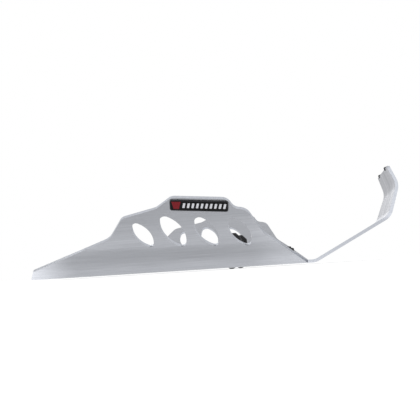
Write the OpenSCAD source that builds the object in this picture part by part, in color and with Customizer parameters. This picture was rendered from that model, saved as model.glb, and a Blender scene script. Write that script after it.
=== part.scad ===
// Motorcycle skid plate: one folded aluminium sheet with flared side wings, an upturned nose,
// a badge on the right wing, rubber buffers and two rubber-bushed hanger brackets.
// Millimetres. +X is the front of the motorcycle, -Y its right-hand side, +Z is up.
// The origin is the middle of the flat floor, on its underside.

/* [Sheet and floor] */
// Thickness of the aluminium sheet
sheet_t = 4; // [3:0.25:5]
// Length of the floor from its rear edge to the nose fold
floor_l = 368; // [340:1:400]
// Width of the floor between the two side folds
floor_w = 210; // [190:1:240]
// Inside radius of the fold between floor and flank
flank_fold_r = 8; // [4:0.5:14]
// Diameter of the drain access hole
drain_d = 42; // [30:1:60]
// Distance of the drain access hole behind the middle of the floor
drain_back = 52; // [30:1:90]

/* [Nose] */
// Angle of the ramp above the floor
ramp_angle = 27.5; // [20:0.5:35]
// Length of the ramp between its two folds
ramp_l = 107.3; // [90:1:120]
// Inside radius of the fold between floor and ramp
ramp_fold_r = 14; // [8:1:20]
// Angle of the nose panel above the floor
panel_angle = 70; // [60:0.5:80]
// Length of the nose panel between its two folds
panel_l = 44.4; // [40:0.1:55]
// Inside radius of the fold between ramp and nose panel
panel_fold_r = 18; // [8:1:24]
// Angle of the lip, past the vertical
lip_angle = 109.8; // [100:0.1:120]
// Length of the lip above its fold
lip_l = 27.4; // [24:0.1:36]
// Inside radius of the fold between nose panel and lip
lip_fold_r = 20; // [6:0.5:26]
// Width of the lip along its top edge
lip_w = 140; // [120:1:170]
// Corner radius of the lip
lip_corner_r = 6; // [3:0.5:12]
// Radius where the nose starts to narrow
nose_shoulder_r = 24; // [10:1:40]

/* [Flanks] */
// Angle of the flank above the floor
flank_angle = 38; // [30:0.5:44]
// Width of the flank at the rear edge of the floor, measured to its fold line
flank_h_rear = 58.3; // [52:0.1:64]
// Width of the flank at the front end of the floor, measured to its fold line
flank_h_front = 36.3; // [32:0.1:44]
// How far the flank's front corner stays behind the nose fold
flank_front_gap = 10; // [6:0.5:20]
// How far the rear corner of the flank lies ahead of the rear edge
flank_rear_run = 8.3; // [4:0.1:14]
// Height of the rear corner of the flank, along the sheet
flank_rear_h = 17; // [12:0.1:22]
// Corner radius at the rear end of the flank
flank_rear_r = 5; // [2:0.5:8]

/* [Wings] */
// Angle of the wing above the floor
wing_angle = 48; // [45:0.5:60]
// Inside radius of the soft fold between flank and wing
wing_fold_r = 40; // [20:1:60]
// Where the rear rise crosses the fold line, from the rear edge of the floor
rise_x = 86.4; // [70:0.1:100]
// Distance from the front end of the flank back to where the front edge crosses the fold line
front_run = 28.9; // [24:0.1:34]
// Foot of the steep rear step, along the fold line
rear_step_x = 120.8; // [114:0.1:126]
// Foot of the steep rear step, above the fold line
rear_step_h = 16.2; // [12:0.1:20]
// Start of the rear shoulder, along the fold line
rear_shoulder_x = 140.3; // [135:0.1:146]
// Start of the rear shoulder, above the fold line
rear_shoulder_h = 47.3; // [42:0.1:50]
// Middle of the badge tab, along the fold line
tab_x = 235.5; // [232:0.1:239]
// Length of the top edge of the badge tab
tab_l = 64.8; // [60:0.1:68]
// Height of the middle of the badge tab above the fold line
tab_h = 73.8; // [71:0.1:80]
// Slope of the top edge of the tab, falling to the front
tab_slope = 4.2; // [2:0.1:6]
// Length of the slope behind the tab
tab_rear_run = 19.6; // [15:0.1:24]
// Height of the rear shoulder at the foot of that slope
tab_foot_rear_h = 60.4; // [57:0.1:63]
// Length of the slope ahead of the tab
tab_front_run = 7.7; // [5:0.1:10]
// Height of the front shoulder at the foot of that slope
tab_foot_front_h = 57.3; // [54:0.1:60]
// Front end of the front shoulder, along the fold line
front_shoulder_x = 289.6; // [286:0.1:294]
// Front end of the front shoulder, above the fold line
front_shoulder_h = 55.3; // [51:0.1:57]
// Foot of the steep front edge, along the fold line
front_step_x = 309.2; // [304:0.1:313]
// Foot of the steep front edge, above the fold line
front_step_h = 17.3; // [13:0.1:21]
// Radius of the small corners of the wing outline
corner_r = 6; // [3:0.5:8]
// Radius of the large hollow corners of the wing outline
hollow_r = 18; // [10:1:24]
// Radius of the front shoulder
front_shoulder_r = 11; // [6:0.5:13]

/* [Vent slots] */
// Middle of the first slot, along the fold line
slot_1_x = 162.8; // [160:0.1:165]
// Middle of the second slot, along the fold line
slot_2_x = 200.1; // [198:0.1:203]
// Middle of the third slot, along the fold line
slot_3_x = 240.4; // [238:0.1:242]
// Middle of the fourth slot, along the fold line
slot_4_x = 280.1; // [277:0.1:282]
// Height of the middle of the first slot above the fold line
slot_1_h = 21.6; // [19:0.1:24]
// Height of the middle of the second slot above the fold line
slot_2_h = 25.9; // [24:0.1:28]
// Height of the middle of the third slot above the fold line
slot_3_h = 24.3; // [23:0.1:27]
// Height of the middle of the fourth slot above the fold line
slot_4_h = 22.4; // [21:0.1:25]
// Length of the first slot
slot_1_l = 41.5; // [36:0.5:44]
// Length of the second slot
slot_2_l = 52; // [46:0.5:53]
// Length of the third slot
slot_3_l = 49; // [44:0.5:50]
// Length of the fourth slot
slot_4_l = 47; // [42:0.5:48]
// Width of a slot as a share of its length
slot_ratio = 0.48; // [0.42:0.005:0.54]
// Lean of the slots from the fold line, falling to the front
slot_lean = 65.5; // [60:0.5:74]
// Radius of the lower tip of a slot as a share of its width
slot_tip_ratio = 0.21; // [0.12:0.01:0.3]
// Radius of the upper tip of a slot as a share of its width
slot_head_ratio = 0.26; // [0.15:0.01:0.35]

/* [Badge] */
// Length of the badge plate
badge_l = 66; // [60:0.5:68]
// Height of the badge plate
badge_h = 13.6; // [11:0.1:14.5]
// Thickness of the badge plate
badge_t = 1.2; // [0.8:0.1:2]
// Corner radius of the badge plate
badge_r = 2.6; // [1.5:0.1:4]
// Distance from the top edge of the tab to the badge plate
badge_drop = 3; // [2:0.1:4]
// Width of the raised rim of the badge
badge_rim = 0.8; // [0.5:0.1:1.2]
// Depth of the field inside the rim
badge_recess = 0.35; // [0.2:0.05:0.5]
// Width of the emblem along its top
emblem_w = 10.4; // [8:0.1:11]
// Width of the emblem along its foot
emblem_foot_w = 6; // [4:0.1:8]
// Height of the emblem
emblem_h = 9.4; // [8:0.1:10.5]
// Number of light slanted bars
bar_n = 10; // [6:1:10]
// Height of the light bars
bar_h = 6.2; // [4:0.1:7]
// Width of a light bar
bar_w = 2.6; // [1.8:0.1:3.2]
// Distance between the middles of two bars
bar_pitch = 5.1; // [4.6:0.1:5.1]

/* [Lip buffers] */
// Distance between the middles of the two lip buffers
lip_buffer_pitch = 92; // [80:1:116]
// Length of a lip buffer along the edge
lip_buffer_l = 9; // [6:0.5:12]
// Height that a lip buffer stands above the edge
lip_buffer_crown = 1.8; // [1.5:0.1:3]
// Wall of a lip buffer on each side of the sheet
lip_buffer_wall = 0.6; // [0.4:0.1:1.2]
// Depth that a lip buffer grips down each side of the sheet
lip_buffer_grip = 2.2; // [2:0.1:4]

/* [Floor buffers] */
// Distance of the floor buffers ahead of the middle of the floor
buffer_x = 141; // [130:0.5:150]
// Distance between the middles of the two floor buffers
buffer_pitch = 110; // [96:1:130]
// Diameter of a floor buffer
buffer_d = 25; // [20:0.5:30]
// Height of a floor buffer
buffer_h = 19; // [16:0.5:24]
// Rubber left around the flange of the insert
insert_cover = 3; // [2:0.25:4]
// Nominal thread diameter of the floor buffer screw
buffer_screw_d = 6; // [5:0.5:8]
// Length of the floor buffer screw, head included
buffer_screw_l = 14; // [12:0.5:15]

/* [Hanger brackets] */
// Distance of the brackets ahead of the middle of the floor
bracket_x = 74; // [64:0.5:84]
// Distance between the upright faces of the two brackets
bracket_pitch = 84; // [76:1:96]
// Thickness of the bracket steel
bracket_t = 3; // [2:0.25:4]
// Width of a bracket
bracket_w = 26; // [24:0.5:32]
// Length of the bracket foot, over the fold
foot_l = 28; // [25:0.5:34]
// Height of the bracket, over the fold
bracket_h = 42; // [38:0.5:48]
// Inside radius of the bracket fold
bracket_fold_r = 3; // [2:0.5:4]
// Chamfer of the two upper corners of a bracket
bracket_chamfer = 6.4; // [3:0.1:8]
// Height of the bush axis above the foot of the bracket
bush_z = 28; // [26:0.5:30]
// Bore of the steel sleeve for the mounting bolt
sleeve_bore_d = 8.4; // [6.4:0.1:8.6]
// Outer diameter of the steel sleeve
sleeve_d = 11; // [10:0.1:12]
// Length of the steel sleeve
sleeve_l = 13; // [11:0.5:16]
// Diameter of the bracket hole that holds the rubber bush
bush_seat_d = 15; // [14:0.5:16]
// Diameter of the bush flanges
bush_flange_d = 20; // [18:0.5:22]
// Thread diameter of the bracket screw
screw_d = 5; // [4:0.5:6]
// Head diameter of the bracket screw
screw_head_d = 9.5; // [8.5:0.1:10.5]
// Height of the domed head of the bracket screw below the floor
screw_dome_h = 1.7; // [1:0.05:2.2]
// Length of the bracket screw above the underside of the floor
screw_l = 16; // [15.5:0.5:20]
// Outer diameter of the washer
washer_d = 12; // [10:0.5:14]
// Thickness of the washer
washer_t = 1.2; // [0.8:0.1:1.6]
// Width of the nut across its flats
nut_af = 8; // [7:0.5:10]
// Height of the nut
nut_h = 5; // [4:0.25:6]

/* [Hidden] */

round_fn = 96;         // circles and cylinders
arc_step = 6;          // degrees between the points of a rounded corner
reach = 400;           // longer than any cut through the part
full_turn = 360;       // degrees
spill = 1;             // how far a cutting tool reaches past what it cuts
hole_play = 0.25;      // radial clearance of a screw in its hole
seat_play = 0.02;      // clearance between a piece and what it is pushed on

half_w = floor_w / 2;
x_rear = -floor_l / 2;
x_nose = floor_l / 2;
flank_front_x = floor_l - flank_front_gap;
front_x = flank_front_x - front_run;
fold_tilt = atan((flank_h_rear - flank_h_front) / floor_l);
wing_turn = wing_angle - flank_angle;
wing_strokes = 4;      // press strokes that make the soft fold
flank_back = setback(flank_angle, flank_fold_r);
wing_back = setback(wing_turn, wing_fold_r);
tab_rear_x = tab_x - tab_l / 2;
tab_front_x = tab_x + tab_l / 2;
tab_rear_h = tab_h + tab_l / 2 * tan(tab_slope);
tab_front_h = tab_h - tab_l / 2 * tan(tab_slope);

// Outer corners of the nose in side view, ahead of and above the nose fold
panel_x = x_nose + ramp_l * cos(ramp_angle);
panel_z = ramp_l * sin(ramp_angle);
lip_x = panel_x + panel_l * cos(panel_angle);
lip_z = panel_z + panel_l * sin(panel_angle);
lip_top_z = lip_z + lip_l * sin(lip_angle);

foot_z = sheet_t;
bracket_y = bracket_pitch / 2;
screw_y = bracket_y + foot_l / 2 + bracket_t / 2;
bush_flange_t = (sleeve_l - bracket_t) / 2 - 0.6;
buffer_y = buffer_pitch / 2;
csk_d = 2 * buffer_screw_d;
csk_h = (csk_d - buffer_screw_d) / 2;
insert_d = 2 * buffer_screw_d + 1;
insert_flange_d = buffer_d - 2 * insert_cover;
insert_flange_t = 1.5;
insert_h = 11;

// Distance from the corner of two outer faces to where a fold of that turn starts
function setback(turn, r) = (r + sheet_t) * tan(turn / 2);

// Points of an arc, without its last one
function arc_points(centre, r, from, to) =
    let (n = ceil(abs(to - from) / arc_step))
    [for (i = [0:n - 1]) let (a = from + (to - from) * i / n) centre + r * [cos(a), sin(a)]];

// Points of a rounded corner at b, between its neighbours a and c; b[2] is the radius
function corner_points(a, b, c) =
    let (
        to_a = [a[0] - b[0], a[1] - b[1]],
        to_c = [c[0] - b[0], c[1] - b[1]],
        ua = to_a / norm(to_a),
        uc = to_c / norm(to_c),
        turn = 180 - acos(max(-1, min(1, ua * uc))),
        room = 0.48 * min(norm(to_a), norm(to_c)) / tan(turn / 2),
        r = min(b[2], room),
        run = r * tan(turn / 2),
        side = sign(to_a[0] * to_c[1] - to_a[1] * to_c[0]),
        start = [b[0], b[1]] + run * ua,
        centre = start + side * r * [-ua[1], ua[0]],
        from = atan2(start[1] - centre[1], start[0] - centre[0]),
        n = max(2, ceil(turn / arc_step))
    )
    b[2] == 0 ? [[b[0], b[1]]] :
    [for (i = [0:n]) centre + r * [cos(from - side * turn * i / n), sin(from - side * turn * i / n)]];

// Closed outline through corners given as [x, y, radius]
function rounded(corners) =
    let (n = len(corners))
    [for (i = [0:n - 1]) each corner_points(corners[(i + n - 1) % n], corners[i], corners[(i + 1) % n])];

// Corner of the sheet in section, moved inwards by d; from and to are the headings around it
function inner_corner(p, from, to, d) =
    let (mid = (from + to) / 2, run = d / cos((to - from) / 2))
    [p[0] - run * sin(mid), p[1] + run * cos(mid)];

// Runs a section drawn in Y and Z along X
module along_x(from, to) {
    translate([from, 0, 0]) rotate([90, 0, 90]) linear_extrude(to - from) children();
}

// Places children in the plane of the left flank: x forward, y up the flank, z inwards
module on_flank() {
    translate([x_rear, half_w, 0]) rotate([flank_angle, 0, 0]) children();
}

// Places children at the fold line of the left wing, still in the plane of the flank
module on_fold() {
    on_flank() translate([0, flank_h_rear, 0]) rotate([0, 0, -fold_tilt]) children();
}

// Places children in the plane of the left wing: x along the fold line, y up the wing
module on_wing() {
    on_fold() rotate([wing_turn, 0, 0]) children();
}

// Places children on both sides of the motorcycle
module both_sides() {
    children();
    mirror([0, 1, 0]) children();
}

// Everything on the inner side of the left flank's face, turned up by a and moved inwards by d
module inside_of(a, d) {
    on_fold() translate([-reach, -wing_back, wing_fold_r + sheet_t]) rotate([a, 0, 0])
        translate([0, -reach, d - wing_fold_r - sheet_t]) cube([3 * reach, 2 * reach, reach]);
}

// Places children on the lip: x towards its top edge, z inwards, origin on the top edge
module on_lip_edge() {
    translate([lip_x, 0, lip_z]) rotate([0, -lip_angle, 0]) translate([lip_l, 0, 0]) children();
}

// Point of the flank, ahead of the rear edge and up the sheet, as it lies in the outline
function flank_point(x, up) =
    let (h = up - flank_h_rear)
    [x * cos(fold_tilt) - h * sin(fold_tilt), (x * sin(fold_tilt) + h * cos(fold_tilt)) * cos(wing_turn / 2)];

// Outline of one side: flank below the fold line, wing above it
module side_outline() {
    rear_foot = flank_point(0, 0);
    rear_corner = flank_point(flank_rear_run, flank_rear_h);
    front_foot = flank_point(flank_front_x, 0);
    rear_low = rear_foot + 30 * (rear_foot - rear_corner);
    front_low = front_foot + 14 * (front_foot - [front_x, 0]);
    polygon(rounded([
        [rear_low[0], rear_low[1], 0],
        [rear_corner[0], rear_corner[1], flank_rear_r],
        [rise_x, 0, wing_fold_r],
        [rear_step_x, rear_step_h, hollow_r],
        [rear_shoulder_x, rear_shoulder_h, corner_r],
        [tab_rear_x - tab_rear_run, tab_foot_rear_h, corner_r],
        [tab_rear_x, tab_rear_h, corner_r],
        [tab_front_x, tab_front_h, corner_r],
        [tab_front_x + tab_front_run, tab_foot_front_h, corner_r],
        [front_shoulder_x, front_shoulder_h, front_shoulder_r],
        [front_step_x, front_step_h, hollow_r],
        [front_x, 0, wing_fold_r],
        [front_low[0], front_low[1], 0]
    ]));
}

// Leaf-shaped slot from two large arcs that run smoothly into a small arc at each end
module slot_outline(l) {
    b = l * slot_ratio / 2;
    tip = slot_tip_ratio * 2 * b;
    head = slot_head_ratio * 2 * b;
    tip_x = l / 2 - tip;
    big = (tip_x * tip_x + b * b - tip * tip) / (2 * (b - tip));
    c = big - b;
    head_x = -sqrt((big - head) * (big - head) - c * c);
    a_tip = atan2(c, tip_x);
    a_head = atan2(c, head_x);
    polygon(concat(
        arc_points([0, -c], big, a_tip, a_head),
        arc_points([head_x, 0], head, a_head, full_turn - a_head),
        arc_points([0, c], big, full_turn - a_head, full_turn - a_tip),
        arc_points([tip_x, 0], tip, -a_tip, a_tip)
    ));
}

module slot_cut(x, h, l) {
    translate([x, h, -reach / 8]) rotate(-slot_lean) linear_extrude(reach / 4) slot_outline(l);
}

// Section of floor, folds and flanks, moved inwards by d and run up past the wings
module tray_section(d) {
    c = inner_corner([half_w, 0], 0, flank_angle, d);
    far = c + (reach / 2 + 10 * d) * [cos(flank_angle), sin(flank_angle)];
    r = flank_fold_r + sheet_t - d;
    polygon(rounded([[-c[0], c[1], r], [c[0], c[1], r], [far[0], far[1], 0], [-far[0], far[1], 0]]));
}

// Everything on the inner side of the left wing and of its soft fold, moved inwards by d
module inside_wing(d) {
    intersection_for (i = [1:wing_strokes]) inside_of(i * wing_turn / wing_strokes, d);
}

// Solid inside of the tray, moved inwards by d
module tray_solid(d) {
    intersection() {
        along_x(x_rear - d, x_rear + flank_front_x + d) tray_section(d);
        inside_wing(d);
        mirror([0, 1, 0]) inside_wing(d);
    }
}

// Space on the inner side of the left outline
module outline_prism() {
    on_fold() rotate([wing_turn / 2, 0, 0]) translate([0, 0, -reach])
        linear_extrude(2 * reach) side_outline();
}

module wing_slots() {
    on_wing() {
        slot_cut(slot_1_x, slot_1_h, slot_1_l);
        slot_cut(slot_2_x, slot_2_h, slot_2_l);
        slot_cut(slot_3_x, slot_3_h, slot_3_l);
        slot_cut(slot_4_x, slot_4_h, slot_4_l);
    }
}

// Floor, flanks and wings
module tray() {
    difference() {
        intersection() {
            tray_solid(0);
            outline_prism();
            mirror([0, 1, 0]) outline_prism();
        }
        tray_solid(sheet_t);
        both_sides() wing_slots();
    }
}

// Section of the nose along the motorcycle, from the floor to the lip
module nose_section(start) {
    top = [lip_x + lip_l * cos(lip_angle), lip_top_z];
    a = inner_corner([x_nose, 0], 0, ramp_angle, sheet_t);
    b = inner_corner([panel_x, panel_z], ramp_angle, panel_angle, sheet_t);
    c = inner_corner([lip_x, lip_z], panel_angle, lip_angle, sheet_t);
    top_in = inner_corner(top, lip_angle, lip_angle, sheet_t);
    polygon(rounded([
        [start, 0, 0],
        [x_nose, 0, ramp_fold_r + sheet_t],
        [panel_x, panel_z, panel_fold_r + sheet_t],
        [lip_x, lip_z, lip_fold_r + sheet_t],
        [top[0], top[1], 0],
        [top_in[0], top_in[1], 0],
        [c[0], c[1], lip_fold_r],
        [b[0], b[1], panel_fold_r],
        [a[0], a[1], ramp_fold_r],
        [start, sheet_t, 0]
    ]));
}

// Front view of the nose, narrowed above the ramp
module nose_front() {
    polygon(rounded([
        [-half_w, -1, 0], [half_w, -1, 0],
        [half_w, panel_z, nose_shoulder_r],
        [lip_w / 2, lip_top_z, lip_corner_r],
        [-lip_w / 2, lip_top_z, lip_corner_r],
        [-half_w, panel_z, nose_shoulder_r]
    ]));
}

module nose() {
    tongue = 2 * flank_front_gap;
    tongue_w = floor_w - 2 * (flank_back + spill);
    front = x_rear + flank_front_x;
    intersection() {
        translate([0, floor_w / 2, 0]) rotate([90, 0, 0]) linear_extrude(floor_w)
            nose_section(front - tongue);
        along_x(front - tongue - spill, front + reach / 2) nose_front();
        union() {
            translate([front, -half_w - spill, -spill]) cube([reach, floor_w + 2 * spill, reach]);
            translate([front - tongue - spill, -tongue_w / 2, -spill]) cube([reach, tongue_w, reach]);
        }
    }
}

module guard_plate() {
    color("silver") difference() {
        union() {
            tray();
            nose();
        }
        translate([-drain_back, 0, -1]) cylinder(h = sheet_t + 2, d = drain_d, $fn = round_fn);
        for (s = [-1, 1]) {
            translate([bracket_x, s * screw_y, 0]) screw_seat(screw_d, screw_head_d);
            translate([buffer_x, s * buffer_y, 0]) screw_seat(buffer_screw_d, csk_d);
        }
    }
}

// Countersunk hole for a screw from below, its cone as wide as the head at the underside
module screw_seat(d, head_d) {
    play = hole_play;
    cone_h = (head_d - d) / 2;
    translate([0, 0, -1]) cylinder(h = sheet_t + 2, d = d + 2 * play, $fn = round_fn);
    translate([0, 0, -play])
        cylinder(h = cone_h + play, d1 = head_d + 2 * play, d2 = d, $fn = round_fn);
}

// Places children on the outside of the right wing, at the middle of the badge, z outwards
module on_badge() {
    drop = badge_drop + badge_h / 2;
    mirror([0, 1, 0]) on_wing()
        translate([tab_x - drop * sin(tab_slope), tab_h - drop * cos(tab_slope), 0])
            rotate(-tab_slope) mirror([0, 0, 1]) children();
}

// Rectangle with four exact round corners
module round_rect(l, h, r) {
    square([l - 2 * r, h], center = true);
    square([l, h - 2 * r], center = true);
    for (x = [-1, 1], y = [-1, 1])
        translate([x * (l / 2 - r), y * (h / 2 - r)]) circle(r, $fn = round_fn);
}

module badge_plate() {
    color([0.07, 0.07, 0.08]) on_badge() difference() {
        linear_extrude(badge_t) round_rect(badge_l, badge_h, badge_r);
        translate([0, 0, badge_t - badge_recess]) linear_extrude(1)
            round_rect(badge_l - 2 * badge_rim, badge_h - 2 * badge_rim, badge_r - badge_rim);
    }
}

emblem_x = -badge_l / 2 + badge_rim + 1.3 + emblem_w / 2;
bar_x = emblem_x + emblem_w / 2 + 1.6;

// Plain red shape, printed thick in the field of the badge
module badge_emblem() {
    color([0.6, 0.09, 0.1]) on_badge() translate([emblem_x, -emblem_h / 2, badge_t - badge_recess])
        linear_extrude(badge_recess / 2)
            polygon([[-emblem_foot_w / 2, 0], [emblem_foot_w / 2, 0], [emblem_w / 2, emblem_h],
                [-emblem_w / 2, emblem_h]]);
}

// Row of plain slanted bars, printed thick in the field of the badge
module badge_bars() {
    slant = 0.2 * bar_h;
    color([0.85, 0.85, 0.87]) on_badge()
        for (i = [0:bar_n - 1]) translate([bar_x + i * bar_pitch, -bar_h / 2, badge_t - badge_recess])
            linear_extrude(badge_recess / 2)
                polygon([[0, 0], [bar_w, 0], [bar_w + slant, bar_h], [slant, bar_h]]);
}

// Rubber caps gripped on the top edge of the lip
module lip_buffers() {
    inner = sheet_t + 2 * seat_play;
    outer = inner + 2 * lip_buffer_wall;
    color([0.1, 0.1, 0.1]) for (s = [-1, 1]) on_lip_edge()
        translate([0, s * lip_buffer_pitch / 2, 0]) rotate([90, 0, 0])
            linear_extrude(lip_buffer_l, center = true) difference() {
                translate([-lip_buffer_grip, -seat_play - lip_buffer_wall])
                    square([lip_buffer_grip + lip_buffer_crown, outer]);
                translate([-lip_buffer_grip - 1, -seat_play])
                    square([lip_buffer_grip + 1 + seat_play, inner]);
            }
}

// Rubber posts on the floor that the frame rests against
module floor_buffers() {
    color([0.09, 0.09, 0.09]) for (s = [-1, 1]) translate([buffer_x, s * buffer_y, sheet_t])
        difference() {
            rotate_extrude($fn = round_fn) {
                square([buffer_d / 2, buffer_h - 2]);
                square([buffer_d / 2 - 2, buffer_h]);
                translate([buffer_d / 2 - 2, buffer_h - 2]) circle(2, $fn = 48);
            }
            translate([0, 0, -1]) cylinder(h = insert_flange_t + 1, d = insert_flange_d, $fn = round_fn);
            translate([0, 0, -1]) cylinder(h = insert_h + 1, d = insert_d, $fn = round_fn);
        }
}

// Flanged steel inserts moulded into the base of the rubber posts
module buffer_inserts() {
    color("silver") for (s = [-1, 1]) translate([buffer_x, s * buffer_y, sheet_t]) difference() {
        union() {
            cylinder(h = insert_flange_t, d = insert_flange_d, $fn = round_fn);
            cylinder(h = insert_h, d = insert_d, $fn = round_fn);
        }
        translate([0, 0, -1])
            cylinder(h = insert_h, d = buffer_screw_d + 2 * seat_play, $fn = round_fn);
    }
}

// Countersunk screws, flush with the underside of the floor
module buffer_screws() {
    color([0.15, 0.15, 0.16]) for (s = [-1, 1]) translate([buffer_x, s * buffer_y, 0]) difference() {
        union() {
            cylinder(h = csk_h, d1 = csk_d, d2 = buffer_screw_d, $fn = round_fn);
            cylinder(h = buffer_screw_l, d = buffer_screw_d, $fn = round_fn);
        }
        translate([0, 0, -1]) cylinder(h = 1 + csk_h * 0.7, d = 0.75 * buffer_screw_d, $fn = 6);
    }
}

// Folded steel angles that hang the plate from the frame
module hanger_brackets() {
    back = (bracket_fold_r + bracket_t) * tan(45);
    out = bracket_fold_r + bracket_t;
    side = bracket_chamfer * sqrt(2);
    color([0.12, 0.12, 0.13]) both_sides() difference() {
        translate([bracket_x - bracket_w / 2, bracket_y, foot_z]) rotate([90, 0, 90])
            linear_extrude(bracket_w) {
                translate([back, 0]) square([foot_l - back, bracket_t]);
                translate([0, back]) square([bracket_t, bracket_h - back]);
                translate([out, out]) intersection() {
                    difference() {
                        circle(out, $fn = round_fn);
                        circle(bracket_fold_r, $fn = round_fn);
                    }
                    translate([-out, -out]) square(out);
                }
            }
        translate([bracket_x, screw_y, foot_z - 1])
            cylinder(h = bracket_t + 2, d = screw_d + 2 * hole_play, $fn = round_fn);
        translate([bracket_x, bracket_y - 1, foot_z + bush_z]) rotate([-90, 0, 0])
            cylinder(h = bracket_t + 2, d = bush_seat_d, $fn = round_fn);
        for (x = [-1, 1]) translate([bracket_x + x * bracket_w / 2, bracket_y - 1, foot_z + bracket_h])
            rotate([-90, 0, 0]) rotate([0, 0, 45])
                cube([side, side, 4 * bracket_t], center = true);
    }
}

// Rubber bushes, buttoned into the upright of each bracket
module bracket_bushes() {
    neck_r = bush_seat_d / 2 - seat_play;
    color([0.08, 0.08, 0.08]) both_sides()
        translate([bracket_x, bracket_y + bracket_t / 2, foot_z + bush_z]) rotate([-90, 0, 0])
            difference() {
                union() {
                    for (s = [-1, 1]) translate([0, 0, s * (bracket_t / 2 + bush_flange_t / 2 + seat_play)])
                        cylinder(h = bush_flange_t, d = bush_flange_d, center = true, $fn = round_fn);
                    cylinder(h = bracket_t + bush_flange_t, r = neck_r, center = true, $fn = round_fn);
                }
                cylinder(h = 2 * sleeve_l, d = sleeve_d + 2 * seat_play, center = true, $fn = round_fn);
            }
}

// Steel sleeves that take the clamping load of the mounting bolts
module bush_sleeves() {
    color("silver") both_sides()
        translate([bracket_x, bracket_y + bracket_t / 2, foot_z + bush_z]) rotate([-90, 0, 0])
            difference() {
                cylinder(h = sleeve_l, d = sleeve_d, center = true, $fn = round_fn);
                cylinder(h = sleeve_l + 2, d = sleeve_bore_d, center = true, $fn = round_fn);
            }
}

// Raised countersunk screws from below, their domes just under the floor
module bracket_screws() {
    dome_r = (screw_head_d * screw_head_d / 4 + screw_dome_h * screw_dome_h) / (2 * screw_dome_h);
    dome_z = dome_r - screw_dome_h;
    rim = atan2(-dome_z, screw_head_d / 2);
    socket_h = screw_dome_h + 0.25 * screw_d;
    color([0.15, 0.15, 0.16]) both_sides() translate([bracket_x, screw_y, 0]) difference() {
        rotate_extrude($fn = round_fn) polygon(concat(
            arc_points([0, dome_z], dome_r, -90, rim),
            [[screw_head_d / 2, 0], [screw_d / 2, (screw_head_d - screw_d) / 2],
                [screw_d / 2, screw_l], [0, screw_l]]
        ));
        translate([0, 0, -screw_dome_h - 1]) cylinder(h = 1 + socket_h, d = 0.6 * screw_d, $fn = 6);
    }
}

module bracket_washers() {
    color([0.6, 0.6, 0.62]) both_sides() translate([bracket_x, screw_y, foot_z + bracket_t])
        difference() {
            cylinder(h = washer_t, d = washer_d, $fn = round_fn);
            translate([0, 0, -1])
                cylinder(h = washer_t + 2, d = screw_d + 2 * hole_play, $fn = round_fn);
        }
}

module bracket_nuts() {
    color([0.55, 0.55, 0.57]) both_sides()
        translate([bracket_x, screw_y, foot_z + bracket_t + washer_t]) difference() {
            cylinder(h = nut_h, d = nut_af / cos(30), $fn = 6);
            translate([0, 0, -1]) cylinder(h = nut_h + 2, d = screw_d + 2 * seat_play, $fn = round_fn);
        }
}

guard_plate();
badge_plate();
badge_emblem();
badge_bars();
lip_buffers();
floor_buffers();
buffer_inserts();
buffer_screws();
hanger_brackets();
bracket_bushes();
bush_sleeves();
bracket_screws();
bracket_washers();
bracket_nuts();
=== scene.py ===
# %% [markdown]
# # Motorcycle skid plate
# One aluminium sheet, cut by laser, brushed and folded, with rubber buffers, two hanger brackets
# and a small badge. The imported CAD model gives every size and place. This script gives it edges
# that catch the light, and the finishes of the real materials. It first loads the model and keeps
# its box, because nothing that is dressed here may grow past it.

# %% Load the frame
import math

import bmesh
import bpy
from mathutils import Matrix, Vector
from mathutils.geometry import intersect_line_line


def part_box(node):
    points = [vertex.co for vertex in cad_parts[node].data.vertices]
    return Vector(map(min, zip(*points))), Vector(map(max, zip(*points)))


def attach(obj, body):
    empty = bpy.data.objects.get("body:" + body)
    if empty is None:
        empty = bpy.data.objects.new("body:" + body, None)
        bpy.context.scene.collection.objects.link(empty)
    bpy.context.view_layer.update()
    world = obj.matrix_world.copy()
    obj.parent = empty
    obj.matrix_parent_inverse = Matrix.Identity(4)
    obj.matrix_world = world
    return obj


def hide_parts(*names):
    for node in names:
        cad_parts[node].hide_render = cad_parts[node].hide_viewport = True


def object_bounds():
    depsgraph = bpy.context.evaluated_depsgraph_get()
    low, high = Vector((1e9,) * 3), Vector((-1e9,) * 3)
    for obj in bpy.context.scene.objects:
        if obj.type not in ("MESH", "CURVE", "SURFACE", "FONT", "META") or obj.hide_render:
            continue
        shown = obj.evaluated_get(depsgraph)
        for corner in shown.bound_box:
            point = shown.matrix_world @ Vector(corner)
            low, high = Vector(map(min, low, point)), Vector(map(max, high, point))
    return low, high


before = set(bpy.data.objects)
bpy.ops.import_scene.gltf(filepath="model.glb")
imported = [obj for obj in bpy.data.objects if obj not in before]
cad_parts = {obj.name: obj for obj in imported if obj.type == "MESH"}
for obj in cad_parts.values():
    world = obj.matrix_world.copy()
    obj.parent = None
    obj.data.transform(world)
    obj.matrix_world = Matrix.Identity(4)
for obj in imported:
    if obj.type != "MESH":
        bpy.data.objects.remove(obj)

cad_low, cad_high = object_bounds()
print("CAD box in mm:", [round(1000 * (b - a), 1) for a, b in zip(cad_low, cad_high)])

# %% [markdown]
# All lengths in Blender are metres, while a sheet-metal drawing is in millimetres. One constant
# turns one into the other. Colours are written as the sRGB values that a colour picker shows, and
# shaders want linear light, so one function converts them.

# %% Units and colours
MM = 0.001


def srgb(hex_code):
    """Linear RGBA of a colour written as six hex digits."""
    def channel(i):
        c = int(hex_code[i:i + 2], 16) / 255
        return c / 12.92 if c <= 0.04045 else ((c + 0.055) / 1.055) ** 2.4
    return (channel(0), channel(2), channel(4), 1.0)


# %% [markdown]
# The sizes below are the ones that the dressing needs from the drawing of the folded sheet: where
# its folds lie and how far each panel leans. They are the CAD model's own numbers.

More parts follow.
